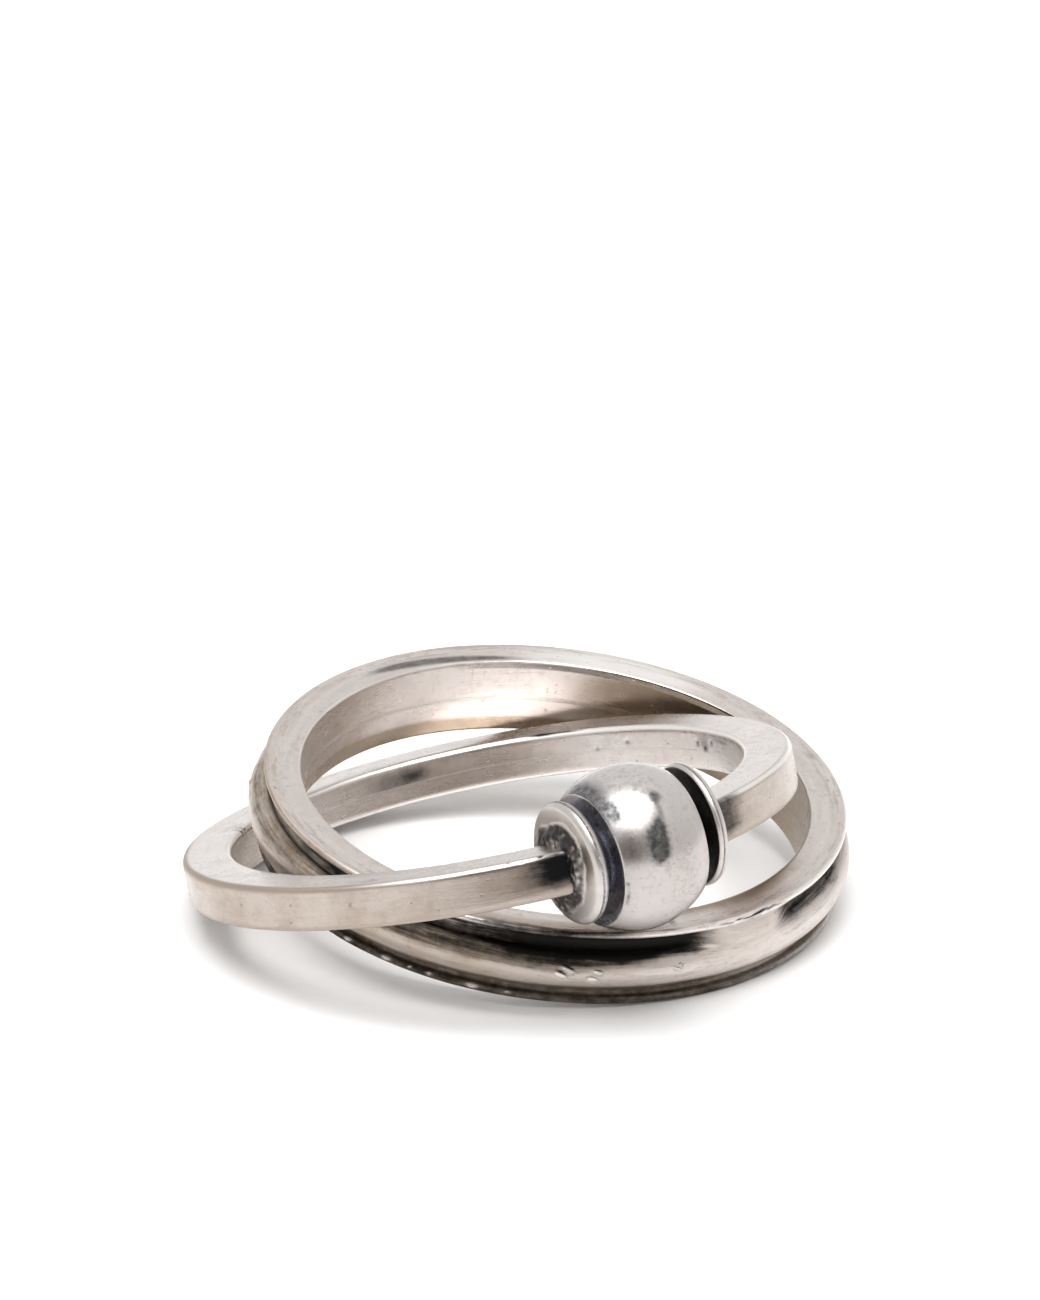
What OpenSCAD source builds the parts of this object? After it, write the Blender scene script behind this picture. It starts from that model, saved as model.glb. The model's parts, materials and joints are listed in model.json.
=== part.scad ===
// Interlocked double ring with a ball bead.
// Two silver finger bands are linked through each other like links of a chain. One is a wide band with a
// moulded outside, the other a hoop of square wire that carries a drilled ball between two stop discs.
// The pair lies as it comes to rest: both bands lean, and each one touches the surface at one point.
// Origin: the middle of the pair's outline seen from above, on the surface. +Z is up, -Y is the bead's side.

/* [Grooved band] */
// Diameter of the finger hole
grooved_hole_d = 19.0; // [18.8:0.1:19.4]
// Width along the finger
grooved_w = 3.0; // [2.8:0.1:3.2]
// Wall thickness at the two outer lips
lip_t = 1.4; // [1.3:0.05:1.5]
// Wall thickness at the crest of the middle ridge
ridge_t = 1.75; // [1.65:0.05:1.85]
// Width of the ridge
ridge_w = 1.14; // [1.0:0.02:1.2]
// Width of each lip
lip_w = 0.27; // [0.2:0.01:0.32]
// Rounding of the edges beside the finger hole
grooved_edge_r = 0.14; // [0.05:0.01:0.2]

/* [Square band] */
// Diameter of the finger hole
square_hole_d = 19.24; // [19.0:0.02:19.4]
// Thickness of the wire, from the finger outwards
wire_t = 1.85; // [1.6:0.05:2.0]
// Width of the wire along the finger
wire_w = 1.66; // [1.5:0.02:1.8]
// Rounding of the wire's four edges
wire_edge_r = 0.22; // [0.1:0.01:0.35]

/* [Bead and stop discs] */
// Diameter of the ball
ball_d = 6.14; // [5.8:0.02:6.3]
// Length of the ball between its two flat ends
ball_length = 3.6; // [3.3:0.05:3.9]
// Rounding where the ball meets its flat ends
ball_edge_r = 0.12; // [0.05:0.01:0.2]
// Gap between a flat end and the disc beside it
ball_gap = 0.54; // [0.4:0.02:0.6]
// Diameter of the necks that hold the ball centred between the discs
neck_d = 2.7; // [2.4:0.1:2.8]
// Diameter of the post that the ball turns on
post_d = 1.6; // [1.2:0.1:1.8]
// Running gap round the post and at the end of each neck
running_gap = 0.05; // [0.03:0.01:0.08]
// Diameter of the stop discs
disc_d = 4.6; // [4.2:0.1:4.8]
// Thickness of the stop discs
disc_t = 0.5; // [0.4:0.05:0.6]
// Rounding of a disc's rim
disc_edge_r = 0.16; // [0.05:0.01:0.2]
// Width of the solder that climbs from a disc up the wire
solder_w = 0.22; // [0.1:0.01:0.3]

/* [How the pair lies] */
// Lean of the grooved band from flat
grooved_tilt = 8.2; // [7.6:0.1:9.0]
// Direction of its low side, turned from +X
grooved_low = -50.9; // [-55:0.1:-47]
// Lean of the square band from flat
square_tilt = 15.8; // [15.4:0.1:16.6]
// Direction of its low side, turned from +X
square_low = 140.2; // [137:0.1:143]
// Shift of the square band's centre from the grooved band's, to the right
shift_x = -2.27; // [-2.35:0.01:-2.2]
// The same shift, away from the viewer
shift_y = -2.13; // [-2.5:0.01:-2.05]
// Where the bead sits round the square band, turned from +X
bead_turn = -58.2; // [-64:0.2:-52]

/* [Hidden] */
$fn = 96;

// The arcs of the ridge and of the two grooves have their centres on one radius, so they run into each other
finger_r = grooved_hole_d / 2;
lip_r = finger_r + lip_t;
ridge_q = ridge_w / 2;
moulding_r = finger_r + ridge_t - ridge_q;
groove_q = (grooved_w / 2 - lip_w - ridge_q) / 2;
groove_z = ridge_q + groove_q;
lip_z = grooved_w / 2 - lip_w / 2;

// The wire stops at the middle of each disc, where its centre line meets the post's
wire_in_r = square_hole_d / 2;
wire_out_r = wire_in_r + wire_t;
wire_mid_r = wire_in_r + wire_t / 2;
disc_in = ball_length / 2 + ball_gap;
disc_mid = disc_in + disc_t / 2;
bead_r = sqrt(pow(wire_mid_r, 2) - pow(disc_mid, 2));
wire_corner_r = norm([wire_t, wire_w]) / 2;
ball_r = ball_d / 2;
bore_r = post_d / 2 + running_gap;

// Rounded corners of each section: radius to the corner's centre, half width to it, and its rounding
grooved_corners = [
    [lip_r - lip_w / 2, lip_z, lip_w / 2],
    [moulding_r, 0, ridge_q]
];
square_corners = [[wire_out_r - wire_edge_r, wire_w / 2 - wire_edge_r, wire_edge_r]];
disc_corners = [[disc_d / 2 - disc_edge_r, disc_t / 2 - disc_edge_r, disc_edge_r]];

// Axis of a band that leans by tilt with its low side towards low
function lean(tilt, low) = [sin(tilt) * cos(low), sin(tilt) * sin(low), cos(tilt)];
// How far a band reaches from its centre in a direction that has cosine c to its axis
function reach(corners, c) = max([for (k = corners) k[0] * sqrt(1 - c * c) + k[1] * abs(c) + k[2]]);

// A vector of a flat band, turned as the band leans
function turned(v, tilt, low) =
    let (hinge = [-sin(low), cos(low), 0])
    v * cos(tilt) + cross(hinge, v) * sin(tilt) + hinge * (hinge * v) * (1 - cos(tilt));

grooved_axis = lean(grooved_tilt, grooved_low);
square_axis = lean(square_tilt, square_low);
bead_place = bead_r * turned([cos(bead_turn), sin(bead_turn), 0], square_tilt, square_low);
post_axis = turned([-sin(bead_turn), cos(bead_turn), 0], square_tilt, square_low);
grooved_reach = [for (c = grooved_axis) reach(grooved_corners, c)];
square_reach = [for (c = square_axis) reach(square_corners, c)];
disc_reach = [for (c = post_axis) reach(disc_corners, c) + abs(c) * disc_mid];

// The outline's ends in X and Y, with the grooved band's centre still at zero, and the shift that centres it
shift = [shift_x, shift_y];
outline_low = [
    for (i = [0:1]) min(-grooved_reach[i], shift[i] - square_reach[i], shift[i] + bead_place[i] - disc_reach[i])
];
outline_high = [
    for (i = [0:1]) max(grooved_reach[i], shift[i] + square_reach[i], shift[i] + bead_place[i] + disc_reach[i])
];
centring = -(outline_low + outline_high) / 2;
grooved_centre = [centring[0], centring[1], grooved_reach[2]];
square_centre = [centring[0] + shift[0], centring[1] + shift[1], square_reach[2]];

// Half section of a plain hoop with rounded edges, X from the axis outwards, Y along the axis
module hoop_section(inner_r, outer_r, w, q) {
    translate([inner_r + q, -w / 2])
        square([outer_r - inner_r - 2 * q, w]);
    translate([inner_r, -w / 2 + q])
        square([outer_r - inner_r, w - 2 * q]);
    for (x = [inner_r + q, outer_r - q], y = [q - w / 2, w / 2 - q])
        translate([x, y]) circle(r = q);
}

// Half section of the grooved band: a hoop with two round-bottomed grooves, round-topped lips and a ridge
module grooved_section() {
    difference() {
        union() {
            hoop_section(finger_r, moulding_r, grooved_w, grooved_edge_r);
            for (side = [-1, 1])
                translate([moulding_r - grooved_edge_r, side * lip_z - lip_w / 2])
                    square([lip_r - lip_w / 2 - moulding_r + grooved_edge_r, lip_w]);
        }
        for (side = [-1, 1])
            translate([moulding_r, side * groove_z]) circle(r = groove_q);
    }
    for (side = [-1, 1])
        translate([lip_r - lip_w / 2, side * lip_z]) circle(r = lip_w / 2);
    translate([moulding_r, 0]) circle(r = ridge_q);
}

// Half section of the ball: a circle cut flat at both ends, with the cut's edge rounded, necks and a bore
module ball_section() {
    edge_y = ball_length / 2 - ball_edge_r;
    edge_x = sqrt(pow(ball_r - ball_edge_r, 2) - pow(edge_y, 2));
    round_from = edge_y * ball_r / (ball_r - ball_edge_r);
    difference() {
        union() {
            intersection() {
                circle(r = ball_r);
                translate([0, -round_from]) square([ball_r, 2 * round_from]);
            }
            translate([0, -ball_length / 2]) square([edge_x, ball_length]);
            for (side = [-1, 1])
                translate([edge_x, side * edge_y]) circle(r = ball_edge_r);
            translate([0, running_gap - disc_in])
                square([neck_d / 2, 2 * (disc_in - running_gap)]);
        }
        translate([-ball_r, -disc_in]) square([ball_r + bore_r, 2 * disc_in]);
    }
}

// Sets a band that is drawn round Z into the lean it has at rest
module lay(centre, tilt, low) {
    translate(centre) rotate([0, 0, low]) rotate([0, tilt, 0]) rotate([0, 0, -low]) children();
}

// Sets what is drawn round Z on the bead's axis, a chord of the square band
module on_post() {
    rotate([0, 0, bead_turn]) translate([bead_r, 0, 0]) rotate([90, 0, 0]) children();
}

// A stop disc with its solder; its inner face is at disc_in, and it points away from the ball
module stop_disc() {
    translate([0, 0, disc_mid]) rotate_extrude() {
        translate([0, -disc_t / 2]) square([disc_d / 2 - disc_edge_r, disc_t]);
        hoop_section(0, disc_d / 2, disc_t, disc_edge_r);
    }
    translate([0, 0, disc_in + disc_t])
        cylinder(h = solder_w, r1 = wire_corner_r + solder_w, r2 = wire_corner_r);
}

module grooved_band() {
    color("silver")
        lay(grooved_centre, grooved_tilt, grooved_low)
            rotate_extrude() grooved_section();
}

module square_band() {
    color("gainsboro")
        lay(square_centre, square_tilt, square_low) {
            difference() {
                rotate_extrude() hoop_section(wire_in_r, wire_out_r, wire_w, wire_edge_r);
                on_post() cube([wire_out_r, 2 * wire_w, 2 * disc_mid], center = true);
            }
            on_post() {
                stop_disc();
                mirror([0, 0, 1]) stop_disc();
                cylinder(h = 2 * disc_mid, d = post_d, center = true);
            }
        }
}

module ball_bead() {
    color("white")
        lay(square_centre, square_tilt, square_low)
            on_post() rotate_extrude() ball_section();
}

grooved_band();
square_band();
ball_bead();
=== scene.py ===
# An interlocked double ring with a ball bead: the finish of every piece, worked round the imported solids.
import math

import bpy
from mathutils import Matrix, Vector
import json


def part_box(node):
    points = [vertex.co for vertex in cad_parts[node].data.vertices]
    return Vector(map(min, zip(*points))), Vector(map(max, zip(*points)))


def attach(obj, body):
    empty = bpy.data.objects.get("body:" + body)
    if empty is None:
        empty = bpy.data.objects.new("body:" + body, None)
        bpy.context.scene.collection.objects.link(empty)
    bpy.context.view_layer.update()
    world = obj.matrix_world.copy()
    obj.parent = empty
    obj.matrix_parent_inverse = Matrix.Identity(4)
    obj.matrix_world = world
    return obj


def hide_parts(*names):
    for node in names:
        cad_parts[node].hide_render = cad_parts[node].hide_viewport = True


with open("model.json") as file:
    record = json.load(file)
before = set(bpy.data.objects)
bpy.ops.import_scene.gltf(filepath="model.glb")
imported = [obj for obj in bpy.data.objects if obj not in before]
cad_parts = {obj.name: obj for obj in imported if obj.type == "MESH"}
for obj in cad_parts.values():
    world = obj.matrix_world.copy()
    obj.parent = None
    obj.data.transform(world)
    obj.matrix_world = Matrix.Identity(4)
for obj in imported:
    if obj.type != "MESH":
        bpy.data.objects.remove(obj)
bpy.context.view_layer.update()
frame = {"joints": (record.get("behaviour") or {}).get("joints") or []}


mm = 0.001
aim = Vector((-0.1, 3.76, 8.875)) * mm
looking_down = math.radians(21.98)
camera_roll = math.radians(1.20)
camera_distance = 400 * mm
focal_length = 297.6
sensor_width = 36

looking = Vector((0, math.cos(looking_down), -math.sin(looking_down)))
level_up = Vector((1, 0, 0)).cross(looking)
picture_up = math.cos(camera_roll) * level_up - math.sin(camera_roll) * Vector((1, 0, 0))
picture_right = looking.cross(picture_up)

lens = bpy.data.cameras.new("camera")
lens.lens = focal_length
lens.sensor_width = sensor_width
lens.clip_start = 1 * mm
camera = bpy.data.objects.new("camera", lens)
turned = Matrix((picture_right, picture_up, -looking)).transposed().to_4x4()
camera.matrix_world = Matrix.Translation(aim - camera_distance * looking) @ turned
bpy.context.scene.collection.objects.link(camera)
bpy.context.scene.camera = camera


# The table and the light
# A white table in a white light tent, with one broad soft panel overhead. The tent's slit, which the
# camera looks in through, is dark, and polished silver shows it as a dim band.
class Tone:
    """A shader value or colour that is written with in sums and products, as in 1 - mask."""

    def __init__(self, tree, socket=None):
        self.tree = tree
        self.socket = socket

    def node(self, kind, settings=None, sockets=None, out=0):
        """Adds a node of that type: its settings first, then the values or links of its sockets."""
        made = self.tree.nodes.new(kind)
        for key, value in (settings or {}).items():
            setattr(made, key, value)
        for key, value in (sockets or {}).items():
            if isinstance(value, Tone):
                self.tree.links.new(value.socket, made.inputs[key])
            else:
                made.inputs[key].default_value = value
        return Tone(self.tree, made.outputs[out])

    def maths(self, operation, first, second):
        """A Math node on two values or links."""
        return self.node("ShaderNodeMath", {"operation": operation}, {0: first, 1: second})

    def __add__(self, other):
        return self.maths("ADD", self, other)

    def __sub__(self, other):
        return self.maths("SUBTRACT", self, other)

    def __rsub__(self, other):
        return self.maths("SUBTRACT", other, self)

    def __mul__(self, other):
        return self.maths("MULTIPLY", self, other)

    def __truediv__(self, other):
        return self.maths("DIVIDE", self, other)

    __radd__ = __add__
    __rmul__ = __mul__

    def step(self, low, high):
        """0 below low and 1 above high, with a smooth rise between; low may be above high."""
        settings = {"interpolation_type": "SMOOTHSTEP"}
        sockets = {"Value": self, "From Min": low, "From Max": high}
        return self.node("ShaderNodeMapRange", settings, sockets)

    def mix(self, first, second):
        """The first colour where this mask is 0 and the second where it is 1."""
        paints = {0: self, 6: first, 7: second}
        return self.node("ShaderNodeMix", {"data_type": "RGBA"}, paints, out=2)

    def stretched(self, *scale):
        """This vector with each of its parts multiplied."""
        return self.node("ShaderNodeVectorMath", {"operation": "MULTIPLY"}, {0: self, 1: scale})

    def noise(self, scale, detail, roughness):
        """Cloudy noise at this vector, from 0 to 1, with scale lumps to a unit."""
        sockets = {"Vector": self, "Scale": scale, "Detail": detail, "Roughness": roughness}
        return self.node("ShaderNodeTexNoise", None, sockets)


floor_half = 1500 * mm
floor_white = (0.86, 0.86, 0.86, 1)
floor_rough = 0.45
floor_gloss = 0.3
panel_middle = (-0.085, -0.375)
panel_half = (0.47, 0.50)
panel_bright = 5.6
panel_slope = 2.6
panel_edge = (1.7, 0.45)
panel_low = (0.1, 0.3)
tent_white = (0.92, 0.915, 0.91, 1)
slit_dim = (0.20, 0.18, 0.16, 1)
slit_height = math.radians(19)
slit_core = math.radians(9)
slit_edge = math.radians(30)

floor_mesh = bpy.data.meshes.new("table")
corners = [(x * floor_half, y * floor_half, 0) for x, y in ((-1, -1), (1, -1), (1, 1), (-1, 1))]
floor_mesh.from_pydata(corners, [], [(0, 1, 2, 3)])
floor = bpy.data.objects.new("table", floor_mesh)
bpy.context.scene.collection.objects.link(floor)
paint = bpy.data.materials.new("table_white")
paint.use_nodes = True
shader = paint.node_tree.nodes["Principled BSDF"].inputs
shader["Base Color"].default_value = floor_white
shader["Roughness"].default_value = floor_rough
shader["Specular IOR Level"].default_value = floor_gloss
floor_mesh.materials.append(paint)

world = bpy.data.worlds.new("tent")
bpy.context.scene.world = world
world.use_nodes = True
tent = Tone(world.node_tree)
direction = tent.node("ShaderNodeTexCoord", out="Generated")
x, y, z = (direction.node("ShaderNodeSeparateXYZ", None, {0: direction}, axis) for axis in "XYZ")
along_x = (x / z - panel_middle[0]) / panel_half[0]
along_y = (y / z - panel_middle[1]) / panel_half[1]
square_x, square_y = along_x * along_x, along_y * along_y
panel = (square_x * square_x + square_y * square_y).step(*panel_edge) * z.step(*panel_low)
slit = (0, -math.cos(slit_height), math.sin(slit_height))
dot = {"operation": "DOT_PRODUCT"}
toward = direction.node("ShaderNodeVectorMath", dot, {0: direction, 1: slit}, "Value")
opening = toward.step(math.cos(slit_edge), math.cos(slit_core))
sky = world.node_tree.nodes["Background"]
bright = 1 - panel + panel * (panel_bright + panel_slope * along_y)
world.node_tree.links.new(opening.mix(tent_white, slit_dim).socket, sky.inputs["Color"])
world.node_tree.links.new(bright.socket, sky.inputs["Strength"])
bpy.context.scene.view_settings.view_transform = "Standard"


# The grooved band
# A wide finger hoop of cast silver, turned outside to a broad ridge between two grooves and two thin
# lips. The grooves are blackened, the ridge and side faces rubbed back to satin, and it is well worn.
import bmesh
import numpy as np


def oval(centre_r, centre_z, half_r, half_z, start, end, count):
    """Points of a round in a half section, from the angle start to end in degrees, as (radius, height)."""
    turn = np.radians(np.linspace(start, end, count))
    return np.stack([centre_r + half_r * np.cos(turn), centre_z + half_z * np.sin(turn)], -1)


def straight(first, last, count):
    """Points between two corners of a half section, with both corners left out."""
    share = np.linspace(0, 1, count + 2)[1:-1, None]
    return np.array(first) * (1 - share) + np.array(last) * share


def outward(section):
    """Unit normals of a closed half section that runs with its metal on the left."""
    along = np.roll(section, -1, 0) - np.roll(section, 1, 0)
    along /= np.linalg.norm(along, axis=1)[:, None]
    return np.stack([along[:, 1], -along[:, 0]], -1)


def girth(section):
    """How far each point lies round a closed half section from its first one."""
    return np.concatenate([[0], np.cumsum(np.linalg.norm(np.diff(section, axis=0), axis=1))])


def lean(tilt, low):
    """The turn that leans a flat band by tilt, with its low side towards low, both in degrees."""
    low_side = Matrix.Rotation(math.radians(low), 3, "Z")
    return np.array(low_side @ Matrix.Rotation(math.radians(tilt), 3, "Y") @ low_side.transposed())


def grain(u, v, cells_u, cells_v, chance):
    """Smooth random heights from -1 to 1: a lattice of random values, wrapped both ways over u and v
    from 0 to 1, blended between its points with the curve 3t^2 - 2t^3."""
    lattice = chance.uniform(-1, 1, (cells_u, cells_v))
    x, y = (u % 1) * cells_u, (v % 1) * cells_v
    i, j = x.astype(int) % cells_u, y.astype(int) % cells_v
    s, t = x - np.floor(x), y - np.floor(y)
    s, t = s * s * (3 - 2 * s), t * t * (3 - 2 * t)
    i_next, j_next = (i + 1) % cells_u, (j + 1) % cells_v
    near = lattice[i, j] * (1 - s) + lattice[i_next, j] * s
    far = lattice[i, j_next] * (1 - s) + lattice[i_next, j_next] * s
    return near * (1 - t) + far * t


def spot(across, along, half_across, half_along, power=2.0):
    """1 at the middle of an oval spot, falling to 0 outside: exp(-(distance in half widths) ^ power)."""
    return np.exp(-(np.hypot(across / half_across, along / half_along) ** power))


def between(value, low, high):
    """0 at low and 1 at high, with a straight rise; low may be above high."""
    return np.clip((value - low) / (high - low), 0, 1)


def apart(turn, middle):
    """Degrees from middle to each turn, from -180 to 180."""
    return (turn - middle + 180) % 360 - 180


def stretch(middle, half, power=4):
    """1 round the piece at hand at the turn middle, falling to 0 beyond half to each side, in degrees."""
    return spot(apart(turn, middle), 0, half, 1, power)


def by_turn(turn, *pairs):
    """A value that changes round the band: straight lines between (turn, value) pairs, wrapped."""
    places, values = zip(*pairs)
    return np.interp(turn, places, values, period=360)


def circled(radii, turn, heights):
    """Points on circles round an axis: (radius cos turn, radius sin turn, height)."""
    turn = np.radians(turn)
    return np.stack(np.broadcast_arrays(radii * np.cos(turn), radii * np.sin(turn), heights), -1)


def raised(section, lift):
    """Radii and heights of a section's points, moved by lift along the section's outward normals."""
    normal = outward(section)
    return section[:, 0] + lift * normal[:, 0], section[:, 1] + lift * normal[:, 1]


def spread(flow, **marks):
    """Each mark as a full array over the points of flow, and flow itself, which the streaks follow."""
    full = {mark: np.broadcast_to(values, flow.shape[:2]) for mark, values in marks.items()}
    return {**full, "flow": flow}


pole_gap = 0.0002 * mm


def skin(name, grid, body, marks, wrap_rows=True, wrap_columns=True):
    """A smooth mesh on a grid of points in metres: a quad between each four neighbours, wrapped where it
    closes. Points that meet at a pole are merged. Each mark becomes an attribute of the points, and
    nothing reaches below the table."""
    rows, columns = grid.shape[:2]
    grid[..., 2] = np.maximum(grid[..., 2], 0)
    index = np.arange(rows * columns).reshape(rows, columns)
    after = np.roll(index, -1, 0)
    quads = np.stack([index, after, np.roll(after, -1, 1), np.roll(index, -1, 1)], -1)
    quads = quads[: rows if wrap_rows else rows - 1, : columns if wrap_columns else columns - 1]
    mesh = bpy.data.meshes.new(name)
    mesh.from_pydata(grid.reshape(-1, 3).tolist(), [], quads.reshape(-1, 4).tolist())
    for mark, values in marks.items():
        kind, field = ("FLOAT_VECTOR", "vector") if values.ndim == 3 else ("FLOAT", "value")
        layer = mesh.attributes.new(mark, kind, "POINT")
        layer.data.foreach_set(field, values.astype(np.float32).ravel())
    if not (wrap_rows and wrap_columns):
        joined = bmesh.new()
        joined.from_mesh(mesh)
        bmesh.ops.remove_doubles(joined, verts=joined.verts, dist=pole_gap)
        joined.to_mesh(mesh)
        joined.free()
    mesh.polygons.foreach_set("use_smooth", np.ones(len(mesh.polygons), bool))
    piece = bpy.data.objects.new(name, mesh)
    bpy.context.scene.collection.objects.link(piece)
    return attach(piece, body)


# The colour of rubbed edges, also used for painted highlights
rubbed_bright = (0.85, 0.82, 0.79, 1)
sulphide_blue = (0.24, 0.30, 0.45, 1)


def silver(name, piece, clean, tarnish_and_shade, oxide_and_shade, satin, streak, pits=0.5, rise=0.010, fade=(0.16, 0.96),
           ragged=0.7):
    """Worn silver: clean metal, with brown tarnish, a blue tint and black oxide laid by the piece's own
    marks and broken up by streaks that follow the work; the brown and the black also carry painted
    shade. Marks also set where it is brushed, rubbed bright or given a painted highlight, or dull, and it
    has fine pits and scratches. satin is its roughness, streak the fineness of the streaks in each
    direction, pits the strength of the pits, rise the height of the grain in millimetres, fade where the
    black starts and is full, and ragged how much the streaks break it up."""
    paint = bpy.data.materials.new(name)
    paint.use_nodes = True
    tree = Tone(paint.node_tree)
    flow = tree.node("ShaderNodeAttribute", {"attribute_name": "flow"}, out="Vector")
    black, brown, rubbed, brushed, tinted, dull = (
        tree.node("ShaderNodeAttribute", {"attribute_name": mark}, out="Fac")
        for mark in ("black", "brown", "rubbed", "brushed", "tinted", "dull"))
    streaks = flow.stretched(*streak).noise(1.0, 5.0, 0.72) - 0.5
    threads = flow.stretched(*(3.0 * part for part in streak)).noise(1.0, 3.0, 0.6) - 0.5
    clouds = flow.noise(0.5, 4.0, 0.6) - 0.5
    blotches = flow.noise(2.4, 6.0, 0.72) - 0.5
    scratches = flow.stretched(6.0, 6.0, 0.5).noise(1.0, 2.0, 0.5).step(0.70, 0.78)
    black_mask = (black + streaks * brushed * 1.5 * ragged + blotches * 0.7 * ragged).step(*fade)
    black_mask = black_mask * black.step(0.02, 0.2)
    brown_mask = (brown + clouds * 0.9 + streaks * brushed * 1.3 + blotches * 0.6).step(0.0, 1.0)
    cells = {"Vector": flow, "Scale": 3.4}
    pores = flow.node("ShaderNodeTexVoronoi", None, cells, "Distance")
    chosen = flow.node("ShaderNodeTexVoronoi", None, cells, "Color")
    chosen = chosen.node("ShaderNodeSeparateColor", None, {"Color": chosen}, "Red").step(0.72, 0.76)
    pore = (1 - pores.step(0.08, 0.20)) * chosen * pits
    shade = brown_mask.mix(clean, tarnish_and_shade)
    grey = (streaks * brushed * 1.3 + clouds * 0.5 + blotches * 0.6 - scratches * 0.1).step(0.12, -0.24)
    shade = (grey * 0.55).mix(shade, tarnish_and_shade)
    worn_and_sheen = (rubbed * (1 + streaks)).step(0.2, 0.9)
    shade = worn_and_sheen.mix(shade, rubbed_bright)
    shade = (tinted + blotches * 0.5 * tinted.step(0.0, 0.3)).mix(shade, sulphide_blue)
    shade = (pore * 0.8 + scratches * 0.12).mix(shade, tarnish_and_shade)
    shade = black_mask.mix(shade, oxide_and_shade)
    rough = satin + streaks * brushed * 0.30 + clouds * 0.16
    rough = rough + black_mask * 0.12 + worn_and_sheen * 0.04 + dull * 0.35
    height = (streaks * 1.2 + threads * 0.6) * brushed + blotches * 0.2 - pore * 1.5 - scratches * 0.15
    bump = tree.node("ShaderNodeBump", None, {"Strength": 1.0, "Distance": rise * mm, "Height": height})
    bsdf = paint.node_tree.nodes["Principled BSDF"]
    bsdf.inputs["Metallic"].default_value = 1.0
    for socket, tone in (("Base Color", shade), ("Roughness", rough), ("Normal", bump)):
        paint.node_tree.links.new(tone.socket, bsdf.inputs[socket])
    piece.data.materials.clear()
    piece.data.materials.append(paint)


# A radius from the band's axis ends in _r, a height along it in _z, and a rounding in _q
finger_r = 9.5
face = 1.5
bevel_q = 0.14
bevel_r = finger_r + bevel_q
lip_q = 0.135
lip_out_r = 10.9
lip_r = lip_out_r - lip_q
lip_z = face - lip_q
moulding_r = 10.62
crest = 0.63
ridge_z = -0.16
ridge_half = 0.74
upper_deep = 0.27
upper_half = (lip_z - lip_q - ridge_z - ridge_half) / 2
upper_z = lip_z - lip_q - upper_half
lower_deep = 0.08
lower_half = (lip_z - lip_q + ridge_z - ridge_half) / 2
lower_z = lip_q - lip_z + lower_half
wall_z = 1.1
grooved_tilt = 8.2
grooved_low = -50.9
flow_r = 10.6
low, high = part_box("grooved_band")
grooved_centre = np.array((low + high) / 2)

section = np.concatenate([
    straight((finger_r, 0), (finger_r, bevel_q - face), 6),
    oval(bevel_r, bevel_q - face, bevel_q, bevel_q, 180, 270, 6),
    straight((bevel_r, -face), (lip_r, -face), 9),
    oval(lip_r, -lip_z, lip_q, lip_q, -90, 90, 8),
    oval(moulding_r, lower_z, lower_deep, lower_half, 270, 90, 11),
    oval(moulding_r, ridge_z, crest, ridge_half, -90, 90, 44)[1:-1],
    oval(moulding_r, upper_z, upper_deep, upper_half, 270, 90, 17),
    oval(lip_r, lip_z, lip_q, lip_q, -90, 90, 8),
    straight((lip_r, face), (bevel_r, face), 12),
    oval(bevel_r, face - bevel_q, bevel_q, bevel_q, 90, 180, 6),
    straight((finger_r, face - bevel_q), (finger_r, wall_z), 6),
    straight((finger_r, wall_z), (finger_r, 0), 6),
    [(finger_r, 0)],
])
# The columns of points lie 1 + nicked_more times as close together round the nicks
steps = 720
nicked_turn = -76
nicked_half = 15
nicked_more = 2.4
degrees = np.linspace(-180, 180, 3601)
packing = 1 + nicked_more * (np.abs(degrees[1:] - nicked_turn) < nicked_half)
packed = np.concatenate([[0], np.cumsum(packing)])
turn = np.interp(np.arange(steps) / steps * packed[-1], packed, degrees)[:, None]
reach = girth(section)[None, :]
r, z = section.T[:, None, :]
chance = np.random.default_rng(11)
u = (turn + 180) / 360
v = reach / reach.max()


def off(at_turn, at_r, at_z):
    """Millimetres along the band at hand and round its section, from a place on it to every point."""
    nearest = np.argmin(np.hypot(section[:, 0] - at_r, section[:, 1] - at_z))
    return np.radians(apart(turn, at_turn)) * at_r, reach - girth(section)[nearest]


def marked(*places):
    """One spot for each (turn, radius, height, half length, half width), all added up."""
    return sum(spot(*off(*place[:3]), *place[3:]) for place in places)


# Masks, from 0 to 1, of each part of the section and of the solder joint. touch is how near to a flat
# face a point has to be to lie on it, and bevel_in and lip_in are how far in from the face an edge mark
# lies
touch = 0.01
bevel_in = 0.04
lip_in = 0.05
lip_foot_z = 1.27
under_z = -0.6
ridge_foot_z = ridge_z - ridge_half
ridge_top_z = ridge_z + ridge_half
groove_floor_r = moulding_r - upper_deep
solder_turn = -48
solder_half = 16
solder_full = 3
moulding = between(r, groove_floor_r - 0.2, groove_floor_r)
upper = (z > under_z) * (z < lip_foot_z) * moulding
lower = (z < under_z) * (z > -lip_foot_z) * moulding
low_edge = moulding * between(z, ridge_foot_z + 0.06, ridge_foot_z - 0.02) * (z > touch - face)
ridge = moulding * (z > ridge_foot_z) * (z < ridge_top_z)
top = (z > face - touch) * 1.0
inside = between(r, finger_r + 0.12, finger_r + 0.02)
bevel = spot(r - finger_r - bevel_in, z - face + bevel_in, 0.10, 0.10)
lip_edge = spot(r - lip_out_r, abs(z) - face + lip_in, 0.12, 0.12)
seam = between(abs(apart(turn, solder_turn)), solder_half, solder_full)
seam = seam * seam * (3 - 2 * seam)

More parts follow.
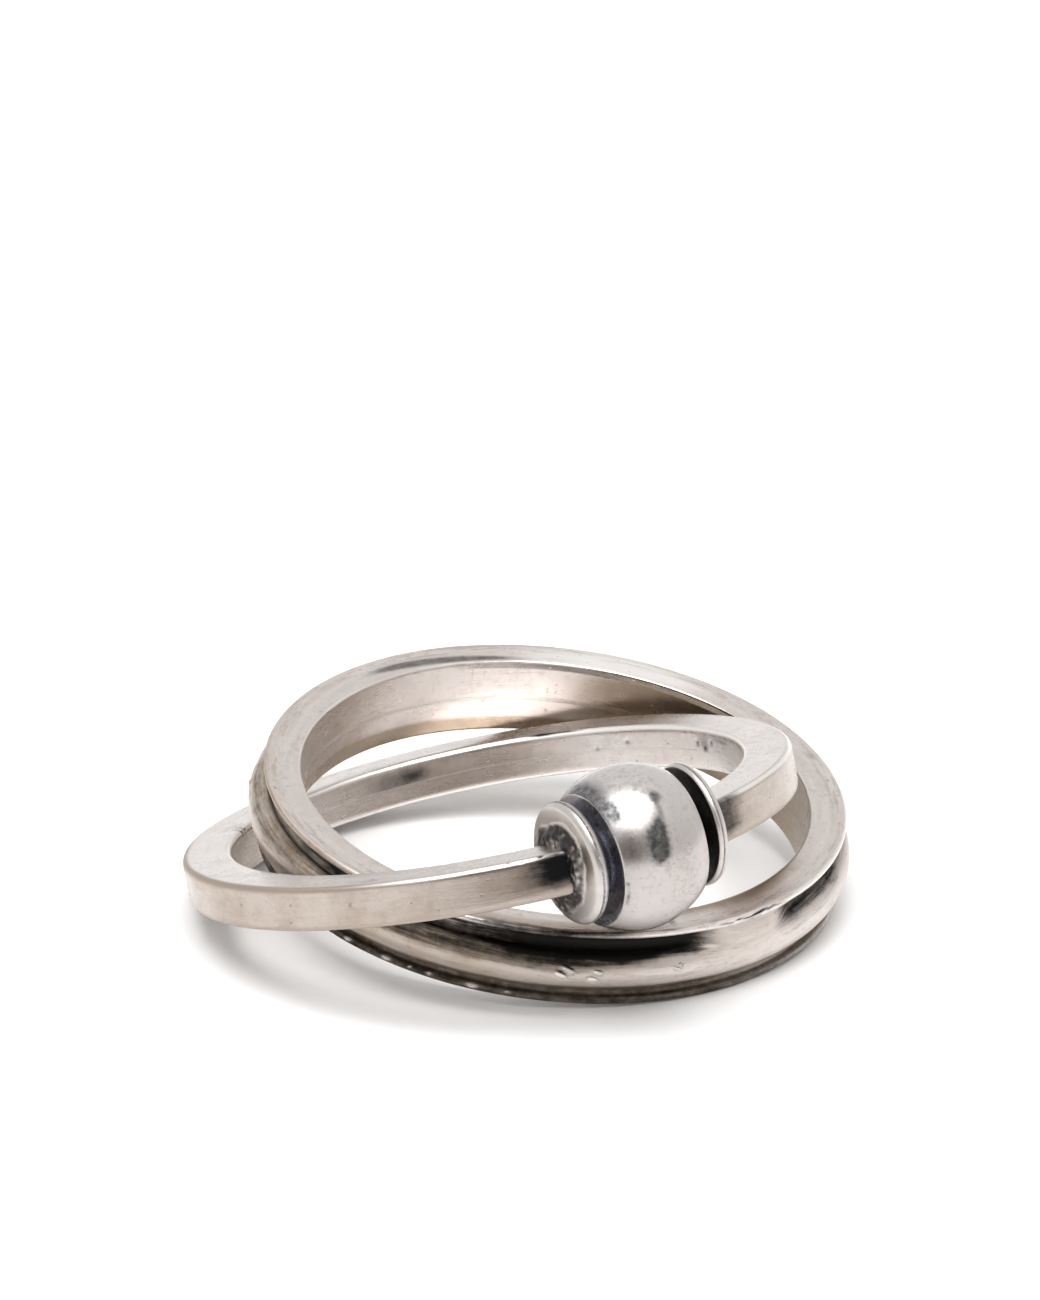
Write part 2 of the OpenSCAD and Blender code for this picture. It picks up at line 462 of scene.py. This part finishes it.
# Low relief in millimetres: shallow waves, a ridge that stands higher at the left than at the right, and
# the upper inner edge worn down at the back
lift = 0.010 * grain(u, v, 9, 5, chance) + 0.005 * grain(u, v, 40, 12, chance)
lift = lift + ridge * (0.07 * np.cos(np.radians(apart(turn, 175))) + 0.014 * grain(u, v, 64, 10, chance))
worn_deep = 0.10
worn_rim = worn_deep * (top + inside * between(z, 1.2, 1.36)) * between(r, 10.3, 9.6)
lift = lift - worn_rim * stretch(72, 34)

# Nicks on the ridge, each with a thin raised burr beside it
nick_r = 11.2
nick_deep = 0.09
nick_burr = 0.02
nicks = (
    # turn, height, half length, half width, slant
    (-86.3, 0.08, 0.27, 0.11, -22),
    (-87.6, -0.15, 0.26, 0.11, -24),
    (-80.6, 0.00, 0.20, 0.09, -15),
    (-81.5, -0.22, 0.22, 0.10, -14),
    (-64.9, 0.03, 0.24, 0.05, -20),
    (-64.3, 0.17, 0.14, 0.04, -20),
)
dent = 0
dash = 0
for nick_turn, nick_z, long, wide, slant in nicks:
    x, y = off(nick_turn, nick_r, nick_z)
    cosine, sine = math.cos(math.radians(slant)), math.sin(math.radians(slant))
    x, y = x * cosine + y * sine, y * cosine - x * sine
    dent = dent + spot(x, y, long, wide, 5)
    dash = dash + spot(x, y - 1.1 * wide, long * 0.9, wide * 0.45, 3)
lift = lift - nick_deep * dent + nick_burr * dash

# Pits on the side face, beads of metal on the lower lip, and a raised point at the left of the ridge
pit_deep = 0.03
pits = marked(
    # turn, radius, height, half length, half width
    (-168.0, 10.20, face, 0.05, 0.10),
    (-167.5, 10.66, face, 0.16, 0.05),
    (-150.7, 10.00, face, 0.10, 0.06),
    (-144.3, 10.52, face, 0.10, 0.06),
    (-141.1, 10.45, face, 0.09, 0.05),
    (-82.6, 10.68, face, 0.14, 0.05),
    (-78.6, 10.65, face, 0.12, 0.05),
    (8.0, 10.70, face, 0.08, 0.05),
    (14.0, 10.50, face, 0.10, 0.05),
    (159.4, 10.34, face, 0.12, 0.03),
)
bead_high = 0.04
bead_r = 10.88
bead_z = -1.30
beads = marked(
    # turn, radius, height, half length, half width
    (-131.9, bead_r, bead_z, 0.13, 0.07),
    (-122.4, bead_r, bead_z, 0.15, 0.08),
    (-117.0, bead_r, bead_z, 0.06, 0.04),
    (-112.9, bead_r, bead_z, 0.09, 0.05),
    (-104.1, bead_r, bead_z, 0.16, 0.09),
    (-97.0, bead_r, bead_z, 0.05, 0.04),
)
burr_high = 0.08
burr = marked((178, 11.25, 0.1, 0.12, 0.10))
lift = lift - pit_deep * pits + bead_high * beads + burr_high * burr

# The solder joint: it fills the upper groove for a short way up to a broader ridge, and a hairline crack
# runs along the lip beside it
broad_half = 1.60
broad = moulding_r + crest * np.sqrt(np.clip(1 - ((z - ridge_z) / broad_half) ** 2, 0, 1))
filled = np.clip(broad - r, 0, 1) * seam * (z > ridge_z) * (z < lip_z) * moulding
crack_deep = 0.05
crack_half = 1.9
crack_r = 10.89
crack_z = 1.41
x, y = off(solder_turn, crack_r, crack_z)
crumbs = 0.06 * grain(u, 0 * v, 90, 1, chance) + 0.05 * grain(u, 0 * v, 260, 1, chance)
crack_wide = 0.05 + 0.04 * grain(u, 0.4 + 0 * v, 140, 1, chance)
crack = spot(x, 0, crack_half, 1, 4) * np.exp(-(((y - crumbs) / crack_wide) ** 2))
lift = lift - crack_deep * crack + 0.012 * seam * grain(u, v, 150, 40, chance) * moulding

# Black oxide in the upper groove: above the height edge it is as full as deep says, with smoke below it
edge = by_turn(
    turn, (-180, 0.58), (-150, 0.50), (-125, 0.46), (-105, 0.36), (-92, 0.24), (-75, 0.26), (-64, 0.45),
    (-50, 0.56), (-41, 0.34), (-26, 0.36), (-12, 0.40), (8, 0.45), (90, 0.50), (150, 0.55))
edge = edge + 0.05 * grain(u, v, 70, 2, chance)
deep = by_turn(
    turn, (-180, 0.66), (-165, 0.68), (-152, 0.80), (-139, 0.98), (-128, 0.78), (-112, 0.72), (-98, 0.95),
    (-88, 1.1), (-60, 1.1), (-54, 0.80), (-46, 0.60), (-40, 0.80), (-24, 0.84), (-14, 0.80), (4, 0.76),
    (40, 0.70), (90, 0.85), (140, 0.70))
smoke = by_turn(
    turn, (-180, 0.40), (-150, 0.48), (-118, 0.80), (-100, 0.70), (-88, 0.82), (-76, 0.62), (-64, 0.34),
    (-50, 0.10), (-36, 0.30), (-10, 0.22), (90, 0.30))
smoke_from = by_turn(turn, (-180, -0.32), (-150, -0.34), (-120, -0.22), (-60, -0.22), (90, -0.30))
smoke = smoke * between(z, smoke_from - 0.06 * grain(u, 0 * v, 60, 1, chance), smoke_from + 0.56)
black = upper * np.maximum(between(z, edge - 0.12, edge + 0.24) * deep, smoke) * (1 - 0.8 * seam)

# Black in the lower groove and on the lower lip: oxide in the groove, and painted shade over groove and
# lip that is strongest at the front. Then black round the small marks, and in streaks on the side face
low_deep = by_turn(
    turn, (-180, 0.55), (-135, 0.60), (-100, 0.48), (-70, 0.44), (-25, 0.42), (0, 0.50), (60, 0.70),
    (120, 0.80))
black = np.maximum(black, lower * between(z, -0.66, -0.86) * low_deep)
low_oxide_and_shade = by_turn(
    turn, (-180, 0.60), (-135, 0.70), (-100, 0.71), (-80, 0.71), (-60, 0.67), (-45, 0.60), (-30, 0.52),
    (0, 0.40), (90, 0.30))
black = np.maximum(black, low_edge * low_oxide_and_shade * (1 - 0.18 * between(z, -lip_foot_z, -1.18)))
# The dash beside each nick is painted shade
black = np.clip(black - 1.3 * beads, 0, 1.2) + crack + 0.6 * dash + 0.6 * pits
streaky = marked(
    # turn, radius, height, half length, half width
    (107, 9.84, face, 1.9, 0.20),
    (119, 9.90, face, 1.7, 0.26),
    (129, 10.06, face, 1.4, 0.22),
)
near_lip = (z > 1.2) * between(r, 10.40, 10.75) * stretch(-90, 19)
patches = marked((-65, 10.36, face, 0.22, 0.30), (24, 10.50, face, 0.40, 0.25))
low_wall = between(z, -0.62, -1.0) * stretch(88, 26)
high_wall = spot(z - 1.32, 0, 0.07, 1, 4) * stretch(72, 34, 6)
# Here the black on the front lip (near_lip) is painted shade that dims its highlight, and the first of the
# patches, beside the ball, is painted shade. The black on the bevel and high on the inner wall at the back
# is partly a smudge and partly painted shade that greys the highlight along that edge, and the low band on
# the inner wall at the back is painted shade where the square band lies close
for oxide_and_shade in (
        0.70 * np.clip(streaky, 0, 1),
        0.80 * near_lip,
        0.50 * patches,
        0.85 * bevel * stretch(56, 27),
        0.45 * inside * high_wall,
        0.38 * inside * low_wall,
        0.42 * inside * stretch(56, 14, 3)):
    black = np.maximum(black, oxide_and_shade)

# Brown: tarnish inside, on the ridge, in the grooves, on the side face and along the lower edge, where it
# is partly painted shade, with more painted shade low on the inner wall and on the side face by the ball
brown = inside * by_turn(
    turn, (-180, 0.75), (-90, 0.70), (0, 0.90), (30, 1.1), (60, 1.1), (78, 0.80), (86, 0.35), (95, 0.10),
    (118, 0.22), (140, 0.45), (165, 0.72))
# The lower band of the inner wall is painted browner all round, as shade of the square band that lies close
# to it at the back
brown = brown + inside * 0.9 * between(z, -0.75, -1.05)
base = by_turn(
    turn, (-180, 0.40), (-130, 0.66), (-110, 0.64), (-88, 0.55), (-72, 0.28), (-30, 0.18), (0, 0.35),
    (90, 0.50))
flank = by_turn(turn, (-180, 0.6), (-140, 0.9), (-75, 1.0), (-60, 0.4), (-40, 0.1), (0, 0.3), (90, 0.5))
brown = brown + ridge * (base + 0.4 * between(z, -0.05, 0.4) * flank)
brown = brown + 0.60 * (upper * (z > ridge_top_z) + lower) * (1 - 0.4 * seam)
brown = brown + top * (0.22 + 0.10 * grain(u, v, 30, 60, chance))
brown = brown + 0.5 * top * stretch(-88, 20) * between(r, 10.0, 10.5)
# The brown along the inner edge of the side face near turn -52 is painted shade under the ball and the
# square band
brown = brown + 0.8 * top * stretch(-52, 30) * between(r, 10.15, 9.65)
low_brown = by_turn(turn, (-60, 1), (-30, 0.3), (90, 0.6), (180, 1))
brown = np.maximum(brown, low_edge * (0.75 - beads) * low_brown)

# Edges: matt at the left, where their brown is painted shade in place of a highlight, and rubbed bright
# elsewhere
matt_and_shaded = lip_edge * (z > 0) * stretch(-162, 40)
brown = brown + 0.8 * matt_and_shaded
low_dull = by_turn(turn, (-180, 0.6), (-135, 1), (-60, 1), (-30, 0.6), (0, 0.2), (120, 0.2))
dull = np.maximum(matt_and_shaded + low_edge * low_dull, 0.30 * ridge + 0.45 * upper * (z > 0.45))
rubbed = (lip_edge - matt_and_shaded) * (1 - 1.3 * low_oxide_and_shade * (z < 0))
rubbed = np.clip(rubbed, 0, 1) * (1 - 0.9 * (z > 0) * stretch(-80, 34)) * (1 - 0.9 * seam)
rubbed = rubbed + 0.7 * bevel * (1 - stretch(85, 52))
# The nicks' faces and the spot on the side face at the back, near turn 78, are painted highlights
rubbed = rubbed + 0.9 * dent + 0.8 * top * spot(apart(turn, 78), r - 10.1, 26, 0.7, 4)
brushed = moulding - 0.5 * low_edge + 0.25 * top + 0.45 * inside

ring_r, ring_z = raised(section, lift)
ring = circled(ring_r + filled, turn, ring_z) @ lean(grooved_tilt, grooved_low).T * mm + grooved_centre
flow = circled(flow_r, turn, reach)
marks = spread(flow, black=black, brown=brown, rubbed=rubbed, brushed=brushed, dull=dull)
grooved = skin("grooved_hoop", ring, "bands", marks)
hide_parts("grooved_band")
# The black of the oxide, also used for painted shade
oxide_and_shade_black = (0.020, 0.018, 0.016, 1)
silver("blackened_silver", grooved, clean=(0.76, 0.71, 0.69, 1), tarnish_and_shade=(0.35, 0.28, 0.215, 1),
       oxide_and_shade=oxide_and_shade_black, satin=0.29, streak=(0.45, 0.45, 6.0))


# The square band
# A hoop of square silver wire with softened edges. Its ends are soldered into two stop discs, and the
# metal is dark beside the solder, where the polishing wheel didn't reach.
wire_in_r = 9.62
wire_out_r = 11.47
wire_mid_r = (wire_in_r + wire_out_r) / 2
half_w = 0.83
wire_q = 0.22
corner_in_r = wire_in_r + wire_q
corner_out_r = wire_out_r - wire_q
corner_z = half_w - wire_q
square_tilt = 15.8
square_low = 140.2
square_lean = lean(square_tilt, square_low)
shift = np.array([-2.27, -2.13])
rise = (corner_out_r * math.sin(math.radians(square_tilt))
        + corner_z * math.cos(math.radians(square_tilt)) + wire_q)
square_centre = np.array([*(grooved_centre[:2] + shift * mm), rise * mm])
disc_in = 2.34
disc_t = 0.5
disc_mid = disc_in + disc_t / 2
bead_turn = -58.2
half_gap = math.degrees(math.asin(disc_mid / wire_mid_r))

section = np.concatenate([
    straight((wire_in_r, 0), (wire_in_r, -corner_z), 8),
    oval(corner_in_r, -corner_z, wire_q, wire_q, 180, 270, 7),
    straight((corner_in_r, -half_w), (corner_out_r, -half_w), 14),
    oval(corner_out_r, -corner_z, wire_q, wire_q, 270, 360, 7),
    straight((wire_out_r, -corner_z), (wire_out_r, corner_z), 16),
    oval(corner_out_r, corner_z, wire_q, wire_q, 0, 90, 7),
    straight((corner_out_r, half_w), (corner_in_r, half_w), 14),
    oval(corner_in_r, corner_z, wire_q, wire_q, 90, 180, 7),
    straight((wire_in_r, corner_z), (wire_in_r, 0), 8),
    [(wire_in_r, 0)],
])
steps = 960
turn = (bead_turn + half_gap + np.linspace(0, 360 - 2 * half_gap, steps))[:, None]
reach = girth(section)[None, :]
r, z = section.T[:, None, :]
chance = np.random.default_rng(23)
u = (turn - turn[0]) / 360
v = reach / reach.max()

# Where each part of the wire is, from 0 to 1, and how near it is to the solder at either end
outer = between(r, wire_out_r - 0.27, wire_out_r - 0.07)
inner = between(r, wire_in_r + 0.18, wire_in_r + 0.06)
top = (z > half_w - touch) * 1.0
middle = np.exp(-((z - 0.22) / 0.68) ** 4)
from_left = apart(turn, bead_turn - half_gap)
from_right = apart(turn, bead_turn + half_gap)
by_left = between(from_left, -15, -4.5) ** 1.25 * (from_left < 1)
by_right = between(from_right, 12.5, 6.5) * (from_right > -1)

# Low relief: shallow waves, pits, and two cuts across the upper inner edge at the left
lift = 0.014 * grain(u, v, 11, 5, chance) + 0.006 * grain(u, v, 48, 14, chance)
pits = marked(
    # turn, radius, height, half length, half width
    (-142.0, wire_out_r, 0.10, 0.08, 0.08),
    (-129.0, wire_out_r, -0.45, 0.12, 0.06),
    (-128.4, wire_out_r, 0.20, 0.08, 0.06),
    (-115.1, wire_out_r, 0.10, 0.10, 0.10),
    (-84.5, 11.36, 0.80, 0.07, 0.05),
    (-82.0, 11.40, 0.78, 0.10, 0.06),
    (-78.5, 11.38, 0.79, 0.09, 0.05),
    (30.0, wire_in_r, 0.35, 0.08, 0.10),
    (33.0, wire_in_r, 0.10, 0.12, 0.10),
    (36.0, wire_in_r, 0.30, 0.10, 0.08),
    (58.0, wire_in_r, 0.30, 0.10, 0.06),
    (66.0, wire_in_r, 0.10, 0.08, 0.06),
)
cut_deep = 0.06
cuts = marked((163.6, 9.72, half_w, 0.05, 0.26), (165.6, 9.72, half_w, 0.05, 0.22))
lift = lift - pit_deep * pits - cut_deep * cuts

# Black oxide beside the solder and in patches on the inner side
black = outer * (1.15 * middle * by_left + 0.80 * by_right * between(z, -0.85, -0.3))
for oxide_and_shade in (
        0.60 * marked((115, wire_in_r, 0.10, 1.2, 0.70), (108.5, wire_in_r, 0.30, 0.6, 0.30)),
        0.95 * marked((79.5, 9.72, 0.78, 0.55, 0.11), (73.5, 9.74, 0.80, 0.75, 0.07)),
        0.55 * marked((33.0, wire_in_r, 0.30, 0.45, 0.35), (24.0, wire_in_r, 0.50, 0.80, 0.14))):
    black = np.maximum(black, oxide_and_shade)
black = black + 0.6 * pits + cuts

# Brown tarnish, and edges that are rubbed bright or left dull, where their brown is painted shade
brown = inner * (0.40 + 0.3 * stretch(112, 16, 3) + 0.24 * grain(u, v, 30, 4, chance))
brown = brown + 0.5 * inner * stretch(172, 14, 2)
warmed = between(from_left, -24, -10) * (from_left < 1)
brown = brown + outer * (0.72 + 0.20 * middle * by_right + 0.35 * middle * warmed)
brown = brown + top * (0.12 + 0.10 * grain(u, v, 26, 40, chance))
worn_in = 0.06
corner = np.minimum(abs(r - wire_out_r + worn_in), abs(r - wire_in_r - worn_in))
rubbed = spot(corner, abs(z) - half_w + worn_in, 0.11, 0.11)
# The dull edges, the upper outer edge at the left and the lower outer edge, are rougher and painted browner
# as shade in place of their highlight
dull = rubbed * (r > wire_mid_r) * np.where(z > 0, stretch(-156, 48, 6), 0.6)
rubbed = rubbed - dull
brown = brown + 0.9 * dull
brushed = (0.45 + 0.4 * by_left) * outer + 0.15 * top + 0.4 * inner

# Both ends of the wire are closed by a point in their middle
wire_r, wire_z = raised(section, lift)
wire = circled(wire_r, turn, wire_z)
ends = [np.broadcast_to(wire[end].mean(0), (1, len(section), 3)) for end in (0, -1)]
wire = np.concatenate([ends[0], wire, ends[1]]) @ square_lean.T * mm + square_centre
flow = circled(flow_r, turn, reach)
marks = spread(flow, black=black, brown=brown, rubbed=rubbed, dull=dull, brushed=brushed)
marks = {mark: np.concatenate([values[:1], values, values[-1:]]) for mark, values in marks.items()}
square = skin("square_wire", wire, "bands", marks, wrap_rows=False)
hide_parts("square_band")
silver("satin_silver", square, clean=(0.77, 0.73, 0.715, 1), tarnish_and_shade=(0.385, 0.32, 0.27, 1),
       oxide_and_shade=(0.011, 0.011, 0.012, 1), satin=0.28, streak=(0.6, 0.6, 6.0), pits=0.7, rise=0.008,
       fade=(0.05, 1.08))


# The stop discs, their solder and the post
# Two turned silver discs on a plain post, which keep the ball in its place. Each is soldered round the
# wire's end, and the solder lies in a dark, pitted collar on its outer face. The inner face of the right
# disc is black, where nothing rubs it.
joint = frame["joints"][0]
bead_centre = np.array(joint["pos_m"])
post_axis = np.array(joint["axis"]) / np.linalg.norm(joint["axis"])
out_axis = square_lean @ [math.cos(math.radians(bead_turn)), math.sin(math.radians(bead_turn)), 0]
up_axis = square_lean @ [0, 0, 1]
bead_lean = np.stack([out_axis, up_axis, post_axis], 1)


def all_round(steps):
    """Turns from -180 degrees on in even steps, as a column."""
    return (np.arange(steps) / steps * 360 - 180)[:, None]


def round_post(radii, turn, heights):
    """Points on circles round the post, in the part's own frame and in metres."""
    return circled(radii, turn, heights) @ bead_lean.T * mm + bead_centre


# Each disc stands disc_rise above the post's axis, and the post fills the hole of hidden_r in it. touch is
# how near to a face a point has to be to lie on it, on the discs and the ball
touch = 0.02
disc_r = 2.3
disc_out = disc_in + disc_t
disc_rise = 0.11
hidden_r = 0.5
steps = 320
turn = all_round(steps)
u = (turn + 180) / 360
for side, sign, seed, rim_q, inner_black in (("left", -1, 31, 0.235, 0.15), ("right", 1, 37, 0.17, 0.85)):
    chance = np.random.default_rng(seed)
    section = np.concatenate([
        straight((hidden_r, disc_in), (disc_r - rim_q, disc_in), 26),
        oval(disc_r - rim_q, disc_in + rim_q, rim_q, rim_q, 270, 360, 8),
        straight((disc_r, disc_in + rim_q), (disc_r, disc_out - rim_q), 4),
        oval(disc_r - rim_q, disc_out - rim_q, rim_q, rim_q, 0, 90, 9),
        straight((disc_r - rim_q, disc_out), (hidden_r, disc_out), 66),
        straight((hidden_r, disc_out), (hidden_r, disc_in), 2),
    ])
    r, z = section.T[:, None, :]
    outer_face = z > disc_out - touch
    inner_face = z < disc_in + touch
    # The left disc's inner half swells towards the ball, and the right disc stands a little further off
    swell = 0.10 * between(z, disc_mid, disc_in) if side == "left" else -0.06
    lumps = 0.6 * grain(u, r / 2.4, 22, 8, chance) + 0.5 * grain(u, r / 2.4, 52, 19, chance)
    edge = by_turn(turn, (-180, 2.15), (-137, 2.05), (-120, 1.98), (-87, 1.66), (-48, 1.46), (-13, 1.42),
                   (40, 1.64), (74, 1.58), (114, 1.60), (150, 1.90))
    edge = edge + 0.09 * grain(u, 0 * r, 17, 1, chance)
    collar = between(r, edge + 0.14, edge - 0.12)
    collar = collar * collar * (3 - 2 * collar) * outer_face
    climb = 0.22 * between(r, 1.54, 1.24) ** 2 * collar
    dome = 0.09 * between(r, 1.3, disc_r) ** 2 * (z > disc_mid)
    heights = z + collar * (0.045 + 0.06 * lumps) + climb - dome - swell

    black = collar * (0.85 + 0.55 * lumps) * (0.75 + 0.25 * between(r, 1.9, 1.5))
    black = np.maximum(black, inner_face * inner_black)
    brown = 0.30 * outer_face * between(r, 2.1, 1.7) + 0.25 + 0.15 * grain(u, 0 * r + 0.3, 7, 2, chance)
    brown = brown + 0.6 * spot(apart(turn, 10), r - 1.9, 14, 0.25, 3) * outer_face + 0.5 * inner_face
    rubbed = 0.3 * spot(r - disc_r + 0.05, z - disc_out + 0.05, 0.10, 0.10)
    points = round_post(r, turn, sign * heights) + disc_rise * mm * up_axis
    marks = spread(circled(r, turn, z), black=black, brown=brown, rubbed=rubbed, brushed=0.2)
    # The left disc is a mirror image, so its columns run the other way to keep its faces outwards
    if sign < 0:
        points = points[:, ::-1]
        marks = {mark: values[:, ::-1] for mark, values in marks.items()}
    disc = skin(side + "_stop_disc", points, "bands", marks)
    silver(side + "_disc_silver", disc, clean=(0.63, 0.60, 0.585, 1), tarnish_and_shade=(0.38, 0.33, 0.29, 1),
           oxide_and_shade=(0.045, 0.041, 0.040, 1), satin=0.33, streak=(3.0, 3.0, 3.0), pits=0.4, fade=(0.2, 0.95),
           ragged=1.0)

# The post ends in the middle of each disc
post_r = 0.8
turn = all_round(48)
radii = np.array([[0, post_r, post_r, 0]])
heights = np.array([[-disc_mid, -disc_mid, disc_mid, disc_mid]])
marks = spread(circled(1, turn, heights), black=0.3, brown=0.5, brushed=0.5)
post = skin("bead_post", round_post(radii, turn, heights), "bands", marks, wrap_columns=False)
silver("post_silver", post, clean=(0.68, 0.65, 0.63, 1), tarnish_and_shade=(0.36, 0.31, 0.27, 1), oxide_and_shade=oxide_and_shade_black,
       satin=0.25, streak=(1.0, 1.0, 6.0))


# The ball bead
# A drilled and polished silver ball, cut flat at both ends, that turns on the post between the discs.
# Sulphide has made its left end blue-black, with a painted highlight on it, and its right end black, and
# mottled dark clouds lie on its round side.
ball_r = 3.07
ball_half = 1.8
ball_q = 0.12
neck_r = 1.35
neck_gap = 0.15
neck_end = disc_in - neck_gap
bore_r = 0.85
edge_z = ball_half - ball_q
edge_r = math.sqrt((ball_r - ball_q) ** 2 - edge_z ** 2)
edge_angle = math.degrees(math.atan2(edge_z, edge_r))
section = np.concatenate([
    straight((bore_r, neck_end), (bore_r, -neck_end), 10),
    straight((bore_r, -neck_end), (neck_r, -neck_end), 3),
    straight((neck_r, -neck_end), (neck_r, -ball_half), 4),
    straight((neck_r, -ball_half), (edge_r, -ball_half), 14),
    oval(edge_r, -edge_z, ball_q, ball_q, -90, -edge_angle, 8),
    oval(0, 0, ball_r, ball_r, -edge_angle, edge_angle, 92)[1:-1],
    oval(edge_r, edge_z, ball_q, ball_q, edge_angle, 90, 8),
    straight((edge_r, ball_half), (neck_r, ball_half), 14),
    straight((neck_r, ball_half), (neck_r, neck_end), 4),
    straight((neck_r, neck_end), (bore_r, neck_end), 3),
])
turn = all_round(480)
reach = girth(section)[None, :]
r, z = section.T[:, None, :]
chance = np.random.default_rng(41)
u = (turn + 180) / 360
v = reach / reach.max()
round_side = (np.hypot(r, z) > ball_r - touch) * 1.0
flat_end = (abs(z) > ball_half - 0.08) * between(r, edge_r + 0.05, edge_r - 0.07)


def cloud(at_turn, at_z, long, wide):
    """A soft spot on the ball's round side, long round the post and wide along it, in millimetres."""
    return spot(np.radians(apart(turn, at_turn)) * r, z - at_z, long, wide, 2.5)


lift = 0.005 * grain(u, v, 9, 9, chance) * round_side
dark = cloud(43, 0.14, 0.30, 0.28) + 0.7 * cloud(33, 0.06, 0.34, 0.14) + 0.8 * cloud(24, -0.16, 0.36, 0.22)
dark = dark + cloud(17, -0.46, 0.46, 0.46) + cloud(8, -0.44, 0.44, 0.46) + 0.8 * cloud(1, -0.50, 0.32, 0.36)
blue = 0.95 * between(z, -0.95, -1.50) * stretch(74, 43) + 0.5 * cloud(44, -1.40, 0.50, 0.24)
smudges = 0.6 * cloud(-28, -1.70, 0.34, 0.07) + 0.5 * cloud(-16, -1.72, 0.12, 0.09)
# A painted highlight on the left flat end: here part of the blue tint is taken out, so it looks lighter
painted_glint = np.maximum(stretch(50, 17, 2), stretch(72, 48) * between(r, 2.0, 2.25))
left_end = 0.16 * between(r, 2.2, 1.8) + 0.2 * painted_glint
right_end = 0.9
black = (0.88 * np.clip(dark, 0, 1) + 0.8 * np.clip(blue, 0, 1) + smudges) * round_side
black = np.maximum(black, flat_end * np.where(z < 0, left_end, right_end))
tinted = (flat_end * (0.52 - 0.3 * painted_glint) + 0.20 * np.clip(blue, 0, 1)) * (z < 0)
brown = 0.10 + 0.20 * between(abs(z), 1.35, 1.75) * round_side + 0.40 * stretch(-20, 55, 3) * round_side

turned_r, turned_z = raised(section, lift)
marks = spread(circled(r, turn, z), black=black, brown=brown, tinted=tinted, brushed=1)
ball = skin("ball_bead_turned", round_post(turned_r, turn, turned_z), "bead", marks)
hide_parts("ball_bead")
silver("polished_silver", ball, clean=(0.67, 0.64, 0.63, 1), tarnish_and_shade=(0.40, 0.36, 0.335, 1),
       oxide_and_shade=(0.065, 0.066, 0.064, 1), satin=0.24, streak=(4.5, 4.5, 4.5), pits=0.0, rise=0.0005,
       fade=(0.06, 1.05), ragged=0.75)


import json
